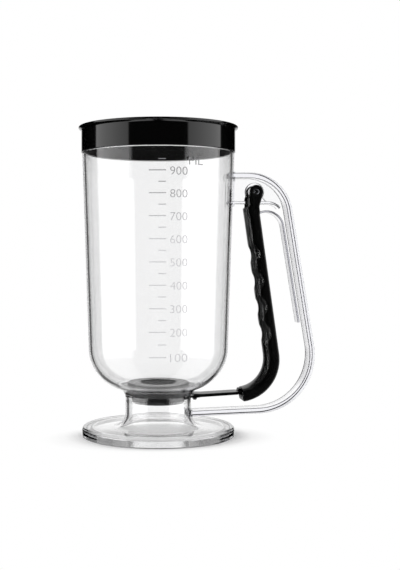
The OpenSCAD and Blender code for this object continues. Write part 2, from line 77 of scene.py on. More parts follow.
def linear(code):
    """Linear red, green and blue of an sRGB hex colour."""
    def one(pair):
        c = int(pair, 16) / 255
        return c / 12.92 if c <= 0.04045 else ((c + 0.055) / 1.055) ** 2.4
    return tuple(one(code[i:i + 2]) for i in (0, 2, 4))


def rgba(code):
    return (*linear(code), 1.0)


def length(name, description, default, low=0.0, high=0.4):
    return FloatProperty(name=name, description=description, default=default, min=low, max=high,
                         subtype="DISTANCE", unit="LENGTH", precision=5)


def angle(name, description, degrees):
    return FloatProperty(name=name, description=description, default=math.radians(degrees),
                         subtype="ANGLE", unit="ROTATION")


def tint(name, description, code):
    return FloatVectorProperty(name=name, description=description, default=linear(code), min=0, max=1,
                               size=3, subtype="COLOR")


# ---------------------------------------------------------------------------------------------------- sizes


class JarSizes(bpy.types.PropertyGroup):
    top_r: length("Top radius", "Outer radius of the wall just under the neck", JAR_HIGH.x)
    low_r: length("Low radius", "Outer radius of the wall where the bowl begins", 0.0454)
    wall: length("Wall", "Thickness of the wall and floor", 0.0022)
    bowl_r: length("Bowl radius", "Outer radius of the round corner between wall and floor", 0.028)
    floor_z: length("Floor height", "Height of the floor's underside", 0.0292)
    rim_z: length("Rim height", "Height of the rim that the lid covers", JAR_HIGH.z)
    neck_h: length("Neck height", "Height of the neck that the lid covers", 0.0151)
    neck_step: length("Neck step", "Step from the wall in to the neck", 0.0009)
    collar_r: length("Collar radius", "Outer radius of the collar under the floor", 0.0214)
    joint_z: length("Joint height", "Height of the joint between collar and foot", JAR_LOW.z)
    fillet_r: length("Fillet radius", "Radius between the bowl and the collar", 0.0065)
    seat_r: length("Seat radius", "Radius of the flat floor that the valve sits on", 0.0207)
    hole_r: length("Hole radius", "Radius of the valve's hole in the floor", 0.0173)
    channel_w: length("Channel width", "Width of the gate's channel through the collar", 0.0266)
    channel_z: length("Channel height", "Height of the channel's underside", 0.0244)
    channel_h: length("Channel opening", "Height of the opening itself", 0.0024)
    around: IntProperty(name="Steps around", description="Faces once round the jar", default=160, min=24,
                        max=256)


class LidSizes(bpy.types.PropertyGroup):
    top_z: length("Top height", "Height of the lid's top", LID_HIGH.z)
    lip_r: length("Lip radius", "Outer radius of the lip", LID_HIGH.x)
    skirt_z: length("Skirt height", "Height of the skirt's lower edge", LID_LOW.z)
    skirt_r: length("Skirt radius", "Outer radius of the skirt", 0.0501)
    wall: length("Wall", "Thickness of the skirt", 0.00115)
    plate: length("Plate", "Thickness of the top", 0.0016)
    lip: length("Lip", "Thickness of the lip", 0.0011)
    lip_edge: length("Lip edge", "Rounding of the lip's upper edge", 0.0005)
    colour: tint("Colour", "Colour of the lid", "060606")


class FootSizes(bpy.types.PropertyGroup):
    rim_r: length("Rim radius", "Outer radius of the disc", FOOT_HIGH.x)
    disc_h: length("Disc height", "Height of the disc", 0.0064)
    wall: length("Wall", "Thickness of the shell", 0.0022)
    ring_w: length("Ring width", "Width of the ring that it stands on", 0.0026)
    ring_edge: length("Ring edge", "Rounding of the ring's outer edge", 0.0008)
    rim_w: length("Rim width", "Width of the rim where it meets the disc's underside", 0.006)
    rim_round: length("Rim rounding", "Radius of the disc's upper edge", 0.0022)
    dip: length("Dip", "Fall of the disc's top from its rim to the neck", 0.0006)
    flare_r: length("Flare radius", "Radius between the neck and the disc", 0.0086)
    spigot_z: length("Spigot height", "Height of the spigot's top", FOOT_HIGH.z)
    spigot_gap: length("Spigot gap", "Gap round the spigot in the collar", 0.00005)


class HandleSizes(bpy.types.PropertyGroup):
    top_z: length("Top height", "Height of the flange's top", HANDLE_HIGH.z)
    reach: length("Reach", "Furthest point out from the jar's axis", HANDLE_HIGH.x)
    width: length("Width", "Width of the flange", 0.0124)
    thick: length("Thickness", "Thickness of the flange", 0.0036)
    edge: length("Edge radius", "Radius of the flange's long edges", 0.0006)
    lean: angle("Lean", "Lean of the leg from upright", 9.3)
    slope: angle("Slope", "Slope of the lower run", 1.6)
    upper_r: length("Upper corner", "Outer radius of the upper corner", 0.0285)
    lower_r: length("Lower corner", "Outer radius of the lower corner", 0.038)
    run_z: length("Run height", "Height of the lower run's underside at the neck", 0.0124)
    web: length("Web", "Thickness of the web", 0.0025)
    rib: length("Rib", "Thickness of the rib under the web", 0.0018)
    rib_w: length("Rib width", "Width of the rib", 0.009)
    rib_drop: length("Rib drop", "Distance from the pivot down to the rib's top", 0.0061)
    rib_out: length("Rib reach", "Distance from the pivot out to where the rib curls down", 0.0092)
    rib_curl: length("Rib curl", "Depth of the curl's centre below the rib's top", 0.010)
    pad: length("Pad", "Thickness of the pads on jar and neck", 0.001)
    pad_w: length("Pad width", "Width of the pads on jar and neck", 0.014)
    flare_w: length("Flare width", "Width of the flange's flared end at the jar", 0.0234)
    boss_r: length("Boss radius", "Radius of the web's boss round the pivot", 0.0063)
    boss_w: length("Boss width", "Width of the boss", 0.004)
    hub_r: length("Hub radius", "Radius of the hub between the lever's ears", 0.0039)
    hub_w: length("Hub width", "Width of the hub", 0.0104)
    bore_r: length("Bore radius", "Radius of the pin's bore through the hub", 0.001775)


class TriggerSizes(bpy.types.PropertyGroup):
    pivot_x: length("Pivot out", "Distance of the pivot from the jar's axis", 0.0636)
    pivot_z: length("Pivot height", "Height of the pivot", 0.1583)
    grain: length("Edge grain", "Size of the remesh that eases the moulded edges", 0.00036)
    thumbs: IntProperty(name="Hollows", description="Number of fingertip hollows on each side", default=4,
                        min=1, max=6)
    first_thumb: length("First hollow", "Distance of the first fingertip hollow from the pivot", 0.040)
    thumb_pitch: length("Hollow pitch", "Distance from one fingertip hollow to the next", 0.01735)
    colour: tint("Colour", "Colour of the lever and arm", "040404")


class SpringSizes(bpy.types.PropertyGroup):
    width: length("Width", "Width of the strip", 2 * SPRING_HIGH.y)
    thick: length("Thickness", "Thickness of the strip", 0.0014)
    crest_r: length("Crest radius", "Outer radius of the crest", 0.012)
    crest_gap: length("Crest gap", "Gap between the handle's rib and the crest", 0.004)
    root: length("Root", "Length of the strip's straight end in the lever", 0.0065)
    root_turn: angle("Root turn", "Direction from the crest's centre in which the bend ends at the root", 114)
    tip_drop: length("Tip drop", "Distance of the strip's tip below the pivot", 0.0856)
    gap: length("Gap", "Gap between the strip and the handle's leg", 0.003)


class ScaleSizes(bpy.types.PropertyGroup):
    second_z: length("Second mark", "Height of the second long mark", 0.0701)
    pitch: length("Pitch", "Distance from the second long mark to the third", 0.01431)
    closing: length("Closing", "Amount by which each pitch is shorter than the one below it", 0.0001)
    bowl: length("Bowl allowance", "Extra distance down to the lowest mark, where the bowl holds less", 0.001)
    mark_t: length("Mark thickness", "Thickness of the marks", 0.00055)
    long_w: length("Long marks", "Width of the marks with a figure", 0.0103)
    short_w: length("Short marks", "Width of the marks between them", 0.0046)
    figure_h: length("Figure height", "Height of the figures", 0.0049)
    figure_low: length("Figure drop", "Drop of the figures' middle below their mark", 0.0003)
    figure_x: length("Figure start", "Distance of the figures from where the short marks start", 0.0072)
    figure_w: length("Figure width", "Width of a figure of three digits", 0.0105)
    unit_x: length("Unit start", "Distance of the unit from where the short marks start", 0.0187)
    unit_w: length("Unit width", "Width of the unit", 0.0084)
    unit_z: length("Unit height", "Height that the unit stands on", 0.1718)
    turn: angle("Turn", "Direction round the jar that the scale faces", 263.5)
    ink: tint("Ink", "Colour of the printed scale", "7c7c7e")


class StageSizes(bpy.types.PropertyGroup):
    floor: length("Floor", "Half the side of the floor", 3.0, 0.5, 10)
    distance: length("Camera distance", "Distance of the camera from the jar's axis", 0.645, 0.2, 3)
    eye: length("Camera height", "Height of the camera", 0.1151, 0, 1)
    turn: angle("Turn", "Turn of the camera round the jar", -6.5)
    lens: FloatProperty(name="Lens", description="Focal length of the camera", default=62.53,
                        subtype="DISTANCE_CAMERA", unit="CAMERA")
    frame_h: IntProperty(name="Frame height", description="Height of the frame in pixels", default=570)
    left: FloatProperty(name="Left", description="Pixels from the frame's middle left to the jar's axis",
                        default=41.7)
    raised: FloatProperty(name="Raised", description="Pixels from the frame's middle up to eye level",
                          default=27.0)


# -------------------------------------------------------------------------------------------- mesh handling


def points(geom):
    """The vertices among what an operator made."""
    return [g for g in geom if isinstance(g, bmesh.types.BMVert)]


def outline(start, *moves):
    """A wire in the plane of the handle, from start. A move (x, z) is a straight line, (x, z, setback) also
    rounds that corner, and (centre x, centre z, degrees, steps) is an arc, anticlockwise where degrees is
    positive."""
    bm = bmesh.new()
    tip = bm.verts.new((start[0], 0, start[1]))
    corners = []
    for move in moves:
        if len(move) == 4:
            grown = bmesh.ops.spin(bm, geom=[tip], cent=(move[0], 0, move[1]), axis=(0, -1, 0),
                                   angle=math.radians(move[2]), steps=move[3])
            tip = points(grown["geom_last"])[0]
        else:
            tip = bmesh.ops.extrude_vert_indiv(bm, verts=[tip])["verts"][0]
            tip.co = (move[0], 0, move[1])
            if len(move) == 3:
                corners.append((tip, move[2]))
    for corner, setback in corners:
        bmesh.ops.bevel(bm, geom=[corner], offset=setback, segments=4, profile=0.5, affect="VERTICES",
                        material=-1)
    return bm


def turned(bm, around):
    """Spins an outline once round the jar's axis into a closed solid."""
    bmesh.ops.remove_doubles(bm, verts=bm.verts, dist=WELD)
    bmesh.ops.spin(bm, geom=bm.verts[:] + bm.edges[:], cent=(0, 0, 0), axis=UP, angle=math.tau, steps=around,
                   use_merge=True)
    bmesh.ops.remove_doubles(bm, verts=bm.verts, dist=WELD)
    bmesh.ops.recalc_face_normals(bm, faces=bm.faces)
    return bm


def section(width, thick, edge, at, normal_turn=0.0):
    """A rounded rectangle across the handle's plane, to be drawn along a path. Before its turn it faces +X."""
    bm = bmesh.new()
    bmesh.ops.create_grid(bm, x_segments=1, y_segments=1, size=0.5)
    bmesh.ops.scale(bm, vec=(thick, width, 1), verts=bm.verts)
    bmesh.ops.bevel(bm, geom=bm.verts[:], offset=edge, segments=5, profile=0.5, affect="VERTICES",
                    material=-1)
    bmesh.ops.rotate(bm, verts=bm.verts, matrix=Matrix.Rotation(math.pi / 2 + normal_turn, 3, "Y"))
    bmesh.ops.translate(bm, verts=bm.verts, vec=(at[0], 0, at[1]))
    return bm, bm.faces[:][0]


def drawn(bm, cap, *moves):
    """Draws a cap face along moves: (dx, dz) is straight, (centre x, centre z, degrees, steps) an arc."""
    first = True
    for move in moves:
        if len(move) == 4:
            grown = bmesh.ops.spin(bm, geom=[cap], cent=(move[0], 0, move[1]), axis=(0, -1, 0),
                                   angle=math.radians(move[2]), steps=move[3])["geom_last"]
        else:
            grown = bmesh.ops.extrude_face_region(bm, geom=[cap])["geom"]
            bmesh.ops.translate(bm, vec=(move[0], 0, move[1]), verts=points(grown))
        if not first:
            bmesh.ops.delete(bm, geom=[cap], context="FACES_ONLY")
        first = False
        cap = next(g for g in grown if isinstance(g, bmesh.types.BMFace))
    bmesh.ops.recalc_face_normals(bm, faces=bm.faces)
    return bm


def plate(bm, width, edge=0.0):
    """Fills an outline and gives it a width across the handle's plane, with its rim eased by edge."""
    bmesh.ops.remove_doubles(bm, verts=bm.verts, dist=WELD)
    bmesh.ops.contextual_create(bm, geom=bm.edges[:])
    grown = bmesh.ops.extrude_face_region(bm, geom=bm.faces[:])["geom"]
    bmesh.ops.translate(bm, vec=(0, width, 0), verts=points(grown))
    bmesh.ops.translate(bm, vec=(0, -width / 2, 0), verts=bm.verts)
    bmesh.ops.recalc_face_normals(bm, faces=bm.faces)
    if edge:
        sides = {v for v in bm.verts if abs(abs(v.co.y) - width / 2) < 1e-6}
        rim = [e for e in bm.edges if sides.issuperset(e.verts) and e.verts[0].co.y * e.verts[1].co.y > 0]
        bmesh.ops.bevel(bm, geom=rim, offset=edge, segments=3, profile=0.5, affect="EDGES", material=-1)
    return bm


def rod(radius, width, x, z, edge=0.0, around=48):
    """A round pin across the handle's plane."""
    bm = bmesh.new()
    bmesh.ops.create_cone(bm, cap_ends=True, segments=around, radius1=radius, radius2=radius, depth=width)
    bmesh.ops.rotate(bm, verts=bm.verts, matrix=Matrix.Rotation(math.pi / 2, 3, "X"))
    bmesh.ops.translate(bm, verts=bm.verts, vec=(x, 0, z))
    if edge:
        rim = [e for e in bm.edges if len(e.link_faces) == 2 and e.calc_face_angle() > 1]
        bmesh.ops.bevel(bm, geom=rim, offset=edge, segments=3, profile=0.5, affect="EDGES", material=-1)
    return bm


def block(low, high, edge=0.0):
    """A box between two corners, its edges eased by edge."""
    bm = bmesh.new()
    bmesh.ops.create_cube(bm, size=1)
    bmesh.ops.scale(bm, vec=[h - l for l, h in zip(low, high)], verts=bm.verts)
    bmesh.ops.translate(bm, vec=[(l + h) / 2 for l, h in zip(low, high)], verts=bm.verts)
    if edge:
        bmesh.ops.bevel(bm, geom=bm.edges[:], offset=edge, segments=3, profile=0.5, affect="EDGES",
                        material=-1)
    return bm


def as_object(name, bm):
    mesh = bpy.data.meshes.new(name)
    bm.to_mesh(mesh)
    bm.free()
    obj = bpy.data.objects.new(name, mesh)
    bpy.context.scene.collection.objects.link(obj)
    return obj


def settled(obj):
    """The object's mesh with its modifiers applied, as a bmesh. The object is removed."""
    graph = bpy.context.evaluated_depsgraph_get()
    bm = bmesh.new()
    bm.from_mesh(obj.evaluated_get(graph).to_mesh())
    mesh = obj.data
    bpy.data.objects.remove(obj)
    bpy.data.meshes.remove(mesh)
    return bm


def combined(bm, operation, *others):
    """Unites solids with the first, or cuts them from it."""
    for other in others:
        body, tool = as_object("work", bm), as_object("tool", other)
        boolean = body.modifiers.new("Combine", "BOOLEAN")
        boolean.operation, boolean.object, boolean.solver = operation, tool, "EXACT"
        bm = settled(body)
        mesh = tool.data
        bpy.data.objects.remove(tool)
        bpy.data.meshes.remove(mesh)
    return bm


def eased(bm, edge):
    """Rounds the sharp edges of a solid."""
    obj = as_object("work", bm)
    bevel = obj.modifiers.new("Ease", "BEVEL")
    bevel.limit_method, bevel.angle_limit = "ANGLE", math.radians(50)
    bevel.width, bevel.segments = edge, 3
    return settled(obj)


def softened(bm, grain, passes):
    """Eases the edges of a solid by a fine remesh and smoothing."""
    obj = as_object("work", bm)
    remesh = obj.modifiers.new("Remesh", "REMESH")
    remesh.mode, remesh.voxel_size = "VOXEL", grain
    smooth = obj.modifiers.new("Smooth", "SMOOTH")
    smooth.factor, smooth.iterations = 0.5, passes
    return settled(obj)


def relaxed(bm, weights, passes):
    """Smooths a solid where its vertices carry weight."""
    obj = as_object("work", bm)
    group = obj.vertex_groups.new(name="relax")
    for i, weight in enumerate(weights):
        if weight > 0:
            group.add([i], weight, "REPLACE")
    smooth = obj.modifiers.new("Smooth", "SMOOTH")
    smooth.factor, smooth.iterations, smooth.vertex_group = 0.5, passes, group.name
    return settled(obj)


def piece(name, bm, body, material, stands_for=(), sharp=40):
    """Links a finished mesh as a piece of the dispenser that rides on a body. Edges above sharp degrees stay
    crisp, and the flat faces beside them flat. At 180 the skin is smooth all over."""
    obj = as_object(name, bm)
    obj.data.shade_smooth()
    obj.data.set_sharp_from_angle(angle=math.radians(sharp))
    obj.data.materials.append(material)
    if sharp < 180:
        flats = obj.modifiers.new("Flats", "WEIGHTED_NORMAL")
        flats.keep_sharp, flats.weight = True, 100
    if stands_for:
        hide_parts(*stands_for)
    if body:
        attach(obj, body)
    return obj


# ------------------------------------------------------------------------------------------------ materials


def add_node(tree, kind, settings=(), links=()):
    """Adds one node. Settings go to its properties or, by name or number, to its input sockets, and links join
    sockets."""
    node = tree.nodes.new(kind)
    for name, value in dict(settings).items():
        if isinstance(name, str) and name in node.bl_rna.properties:
            setattr(node, name, value)
        else:
            node.inputs[name].default_value = value
    for name, source in dict(links).items():
        tree.links.new(source, node.inputs[name])
    return node


def new_material(name):
    material = bpy.data.materials.new(name)
    material.use_nodes = True
    material.node_tree.nodes.clear()
    return material, material.node_tree


def shared(name, make, *values):
    """The material of this name, made when it is first asked for."""
    return bpy.data.materials.get(name) or make(name, *values)


def clear_moulding(name, ior, absorb, density, swell_mm, shadow):
    """Clear moulded plastic: sharp refraction, a faint violet where light runs far through it, and a surface
    that the polished mould leaves flat to a few hundredths of a millimetre, so that what is seen through it
    wavers."""
    material, tree = new_material(name)
    place = add_node(tree, "ShaderNodeTexCoord")
    flow = add_node(tree, "ShaderNodeTexNoise", {"Scale": 1 / (swell_mm * MM), "Detail": 1.0},
                    {"Vector": place.outputs["Object"]})
    swell = add_node(tree, "ShaderNodeBump", {"Strength": 0.015, "Distance": 0.2 * MM},
                     {"Height": flow.outputs["Fac"]})
    glass = add_node(tree, "ShaderNodeBsdfPrincipled",
                     {"Base Color": (1, 1, 1, 1), "Roughness": 0.0, "IOR": ior, "Transmission Weight": 1.0},
                     {"Normal": swell.outputs["Normal"]})
    through = add_node(tree, "ShaderNodeBsdfTransparent", {"Color": shadow})
    path = add_node(tree, "ShaderNodeLightPath")
    mixed = add_node(tree, "ShaderNodeMixShader", {},
                     {0: path.outputs["Is Shadow Ray"], 1: glass.outputs[0], 2: through.outputs[0]})
    depth = add_node(tree, "ShaderNodeVolumeAbsorption", {"Color": absorb, "Density": density})
    add_node(tree, "ShaderNodeOutputMaterial", {}, {"Surface": mixed.outputs[0], "Volume": depth.outputs[0]})
    return material


def moulded_plastic(name, colour, roughness, grain_mm, relief_mm, ior, spread):
    """Opaque moulded plastic whose surface is the texture of its mould, as bump at its own grain."""
    material, tree = new_material(name)
    place = add_node(tree, "ShaderNodeTexCoord")
    grit = add_node(tree, "ShaderNodeTexNoise",
                    {"Scale": 1 / (grain_mm * MM), "Detail": 3.0, "Roughness": 0.6},
                    {"Vector": place.outputs["Object"]})
    relief = add_node(tree, "ShaderNodeBump", {"Strength": 0.5, "Distance": relief_mm * MM},
                      {"Height": grit.outputs["Fac"]})
    wear_mm = 14
    wear = add_node(tree, "ShaderNodeTexNoise", {"Scale": 1 / (wear_mm * MM), "Detail": 4.0},
                    {"Vector": place.outputs["Object"]})
    sheen = add_node(tree, "ShaderNodeMapRange",
                     {"From Min": 0.35, "From Max": 0.65, "To Min": roughness, "To Max": roughness + spread},
                     {"Value": wear.outputs["Fac"]})
    skin = add_node(tree, "ShaderNodeBsdfPrincipled", {"Base Color": (*colour, 1), "IOR": ior},
                    {"Roughness": sheen.outputs["Result"], "Normal": relief.outputs["Normal"]})
    add_node(tree, "ShaderNodeOutputMaterial", {}, {"Surface": skin.outputs[0]})
    return material


def jar_san():
    """SAN, injection moulded and polished: glass-clear with a high gloss."""
    return shared("san_clear_polished", clear_moulding, 1.57, (0.93, 0.93, 0.965, 1), 20.0, 30,
                  (0.955, 0.955, 0.96, 1))


def handle_san():
    """The same SAN in thick ribs: edges gather a violet-gray where light runs along them."""
    return shared("san_clear_rib", clear_moulding, 1.57, (0.86, 0.86, 0.93, 1), 40.0, 18,
                  (0.94, 0.94, 0.95, 1))


def spring_san():
    """A smoky strip of the same plastic: light that enters its narrow side runs its whole width and comes out
    gray."""
    return shared("san_smoky_strip", clear_moulding, 1.57, (0.86, 0.86, 0.875, 1), 600.0, 18,
                  (0.82, 0.82, 0.82, 1))


def lid_abs(colour):
    """ABS, injection moulded in a mirror-polished mould: deep gloss with a faint orange-peel."""
    return shared("abs_gloss_black", moulded_plastic, colour, 0.05, 2.4, 0.0025, 1.54, 0.03)


def lever_abs(colour):
    """ABS from a spark-eroded mould: satin black, its grit drawn broad enough to show."""
    return shared("abs_satin_black", moulded_plastic, colour, 0.29, 0.35, 0.0002, 1.54, 0.04)


def valve_pp():
    """Polypropylene, injection moulded: black with a soft half gloss."""
    return shared("pp_black_half_gloss", moulded_plastic, linear("0b0b0c"), 0.16, 0.8, 0.006, 1.50, 0.06)


def seal_silicone():
    """Silicone rubber, compression moulded: mid gray, dull and slightly waxy."""
    material = shared("silicone_gray_moulded", moulded_plastic, linear("7a7a7c"), 0.45, 0.5, 0.01, 1.41, 0.1)
    skin = next(n for n in material.node_tree.nodes if n.type == "BSDF_PRINCIPLED")
    skin.inputs["Subsurface Weight"].default_value = 0.15
    skin.inputs["Subsurface Scale"].default_value = 1 * MM
    return material


def pin_steel(pivot_x, pivot_z):
    """Stainless steel rod, turned: rings of fine tool marks round the domed end."""
    material, tree = new_material("steel_turned")
    place = add_node(tree, "ShaderNodeTexCoord")
    centre = add_node(tree, "ShaderNodeMapping", {"Location": (-pivot_x, 0, -pivot_z)},
                      {"Vector": place.outputs["Object"]})
    feed_mm = 0.5
    rings = add_node(tree, "ShaderNodeTexWave",
                     {"wave_type": "RINGS", "rings_direction": "Y", "Scale": 1 / (feed_mm * MM * math.tau),
                      "Distortion": 0.6}, {"Vector": centre.outputs["Vector"]})
    marks = add_node(tree, "ShaderNodeBump", {"Strength": 0.35, "Distance": 0.02 * MM},
                     {"Height": rings.outputs["Fac"]})
    metal = add_node(tree, "ShaderNodeBsdfPrincipled",
                     {"Base Color": rgba("5c5d60"), "Metallic": 1.0, "Roughness": 0.3},
                     {"Normal": marks.outputs["Normal"]})
    add_node(tree, "ShaderNodeOutputMaterial", {}, {"Surface": metal.outputs[0]})
    return material


def scale_ink(colour):
    """Pad-printed gray ink: a thin dull film, paler towards the foot."""
    pale_z, full_z, speck_mm = 0.125, 0.175, 0.3
    material, tree = new_material("ink_gray_printed")
    place = add_node(tree, "ShaderNodeTexCoord")
    parts = add_node(tree, "ShaderNodeSeparateXYZ", {}, {0: place.outputs["Object"]})
    height = add_node(tree, "ShaderNodeMapRange", {"From Min": pale_z, "From Max": full_z},
                      {"Value": parts.outputs["Z"]})
    speck = add_node(tree, "ShaderNodeTexNoise", {"Scale": 1 / (speck_mm * MM)},
                     {"Vector": place.outputs["Object"]})
    film = add_node(tree, "ShaderNodeMix", {"data_type": "RGBA", 6: rgba("cfcfd1"), 7: (*colour, 1)},
                    {0: height.outputs["Result"]})
    dull = add_node(tree, "ShaderNodeMapRange", {"To Min": 0.5, "To Max": 0.7},
                    {"Value": speck.outputs["Fac"]})
    skin = add_node(tree, "ShaderNodeBsdfPrincipled", {"IOR": 1.5},
                    {"Base Color": film.outputs[2], "Roughness": dull.outputs["Result"]})
    add_node(tree, "ShaderNodeOutputMaterial", {}, {"Surface": skin.outputs[0]})
    return material


# --------------------------------------------------------------------------------------------------- pieces


def jar_outer_moves(j, grow=0.0):
    """Start and moves of the jar's outer outline from the collar up to the shoulder, grown outwards."""
    axis_r, axis_z = j.low_r - j.bowl_r, j.floor_z + j.bowl_r
    fillet_x = j.collar_r + j.fillet_r
    fillet_z = axis_z - math.sqrt((j.bowl_r + j.fillet_r) ** 2 - (fillet_x - axis_r) ** 2)
    swing = math.degrees(math.atan2(fillet_x - axis_r, axis_z - fillet_z))
    shoulder_z = j.rim_z - j.neck_h
    return (j.collar_r + grow, j.joint_z), [
        (j.collar_r + grow, fillet_z),
        (fillet_x, fillet_z, swing - 90, 10),
        (axis_r, axis_z, 90 - swing, 28),
        (j.top_r + grow, shoulder_z, CRISP),
    ]


def jar_wall_r(j, z):
    """Outer radius of the jar's tapering wall at a height."""
    low_z, high_z = j.floor_z + j.bowl_r, j.rim_z - j.neck_h
    return j.low_r + (j.top_r - j.low_r) * (z - low_z) / (high_z - low_z)


class DISPENSER_OT_jar(bpy.types.Operator):
    """Spins the clear jar with its neck, bowl and collar, and cuts the gate's channel through the collar"""
    bl_idname = "dispenser.jar"
    bl_label = "Jar"

    def execute(self, context):
        j, f = context.scene.dispenser_jar, context.scene.dispenser_foot
        start, rise = jar_outer_moves(j)
        axis_r, axis_z = j.low_r - j.bowl_r, j.floor_z + j.bowl_r
        floor_top_z = j.floor_z + j.wall
        seat_turn = math.degrees(math.acos((j.seat_r - axis_r) / (j.bowl_r - j.wall)))
        shoulder_z, neck_r, inner_r = j.rim_z - j.neck_h, j.top_r - j.neck_step, j.top_r - j.wall
        bore_r = j.collar_r - f.wall
        socket_r, socket_z = j.collar_r - f.wall / 2 + f.spigot_gap, f.spigot_z + 2 * f.spigot_gap
        shell = turned(outline(
            start, *rise,
            (neck_r, shoulder_z, CRISP), (neck_r, j.rim_z, ROUNDED), (inner_r, j.rim_z, EASED),
            (inner_r, shoulder_z), (j.low_r - j.wall, axis_z), (axis_r, axis_z, -seat_turn, 28),
            (j.seat_r, floor_top_z), (j.hole_r, floor_top_z), (j.hole_r, j.floor_z),
            (bore_r, j.floor_z), (bore_r, socket_z), (socket_r, socket_z), (socket_r, j.joint_z), start),
            j.around)
        half, past_collar = j.channel_w / 2, 1.5 * j.collar_r
        channel = block((0, -half, j.channel_z), (past_collar, half, j.channel_z + j.channel_h))
        jar = combined(shell, "DIFFERENCE", channel)
        piece("jar_shell", jar, "jar_body", jar_san(), ["jar"])
        return {"FINISHED"}


class DISPENSER_OT_lid(bpy.types.Operator):
    """Spins the black push-on lid with its thin lip"""
    bl_idname = "dispenser.lid"
    bl_label = "Lid"

    def execute(self, context):
        s = context.scene.dispenser_lid
        inner, plate_z, lip_slope = s.skirt_r - s.wall, s.top_z - s.plate, 0.0002
        cap = turned(outline(
            (0, s.top_z), (s.lip_r, s.top_z, s.lip_edge), (s.lip_r, s.top_z - s.lip, EASED),
            (s.skirt_r, plate_z - s.lip + lip_slope, CRISP), (s.skirt_r, s.skirt_z, EASED),
            (inner, s.skirt_z, CRISP), (inner, plate_z, ROUNDED), (0, plate_z)), RIM_STEPS)
        piece("lid_cap", cap, "lid", lid_abs(s.colour), ["lid"])
        return {"FINISHED"}


def foot_flare(j, f):
    """Centre of the round between the foot's neck and its disc."""
    return j.collar_r + f.flare_r, f.disc_h - f.dip + f.flare_r


class DISPENSER_OT_foot(bpy.types.Operator):
    """Spins the hollow clear pedestal foot"""
    bl_idname = "dispenser.foot"
    bl_label = "Foot"

    def execute(self, context):
        j, s = context.scene.dispenser_jar, context.scene.dispenser_foot
        flare_x, flare_z = foot_flare(j, s)
        neck_r, ring_r, ceiling = j.collar_r, s.rim_r - s.ring_w, s.disc_h - s.wall
        spigot_r, bore_r, joint_z = neck_r - s.wall / 2, neck_r - s.wall, j.joint_z - AIR
        round_x, round_z = s.rim_r - s.rim_round, s.disc_h - s.rim_round
        shell = turned(outline(
            (ring_r, 0), (s.rim_r, 0, s.ring_edge), (s.rim_r, round_z), (round_x, round_z, 90, 8),
            (flare_x, flare_z - s.flare_r), (flare_x, flare_z, -90, 20),
            (neck_r, joint_z), (spigot_r, joint_z), (spigot_r, s.spigot_z), (bore_r, s.spigot_z),
            (bore_r, flare_z), (flare_x, flare_z, 90, 20),
            (s.rim_r - s.rim_w, ceiling, ROUNDED), (ring_r, 0)), RIM_STEPS)
        piece("foot_shell", shell, "jar_body", jar_san(), ["foot"])
        return {"FINISHED"}


def handle_path(s, j):
    """Centres of the handle's two corners, the directions square to its leg and its lower run, and the distance
    of the leg's outside from the origin along the first of these, all in the handle's plane."""
    leg, run = Vector((math.cos(s.lean), math.sin(s.lean))), Vector((math.sin(s.slope), -math.cos(s.slope)))
    run_c = run.dot((j.collar_r, s.run_z))
    low_x = s.reach - s.lower_r
    low = Vector((low_x, (run.x * low_x + s.lower_r - run_c) / -run.y))
    leg_c = leg.dot(low) + s.lower_r
    up_z = s.top_z - s.upper_r
    up = Vector(((leg_c - s.upper_r - leg.y * up_z) / leg.x, up_z))
    return up, low, leg, run, leg_c


def jar_solid(j):
    """The jar's outside from collar to shoulder, a hair larger, to cut from what bears on it."""
    start, rise = jar_outer_moves(j, AIR)
    low_z = j.joint_z - 0.001
    return turned(outline((0, low_z), (start[0], low_z), *rise, (0, j.rim_z - j.neck_h)), j.around)


def foot_solid(j, f):
    """The foot's outside above its ring, a hair larger, to cut from what bears on it."""
    flare_x, flare_z = foot_flare(j, f)
    low_z = 0.001
    return turned(outline((0, low_z), (f.rim_r, low_z), (f.rim_r, f.disc_h),
                          (flare_x, flare_z - f.flare_r + AIR), (flare_x, flare_z, -90, 20),
                          (j.collar_r + AIR, j.joint_z), (0, j.joint_z)), j.around)


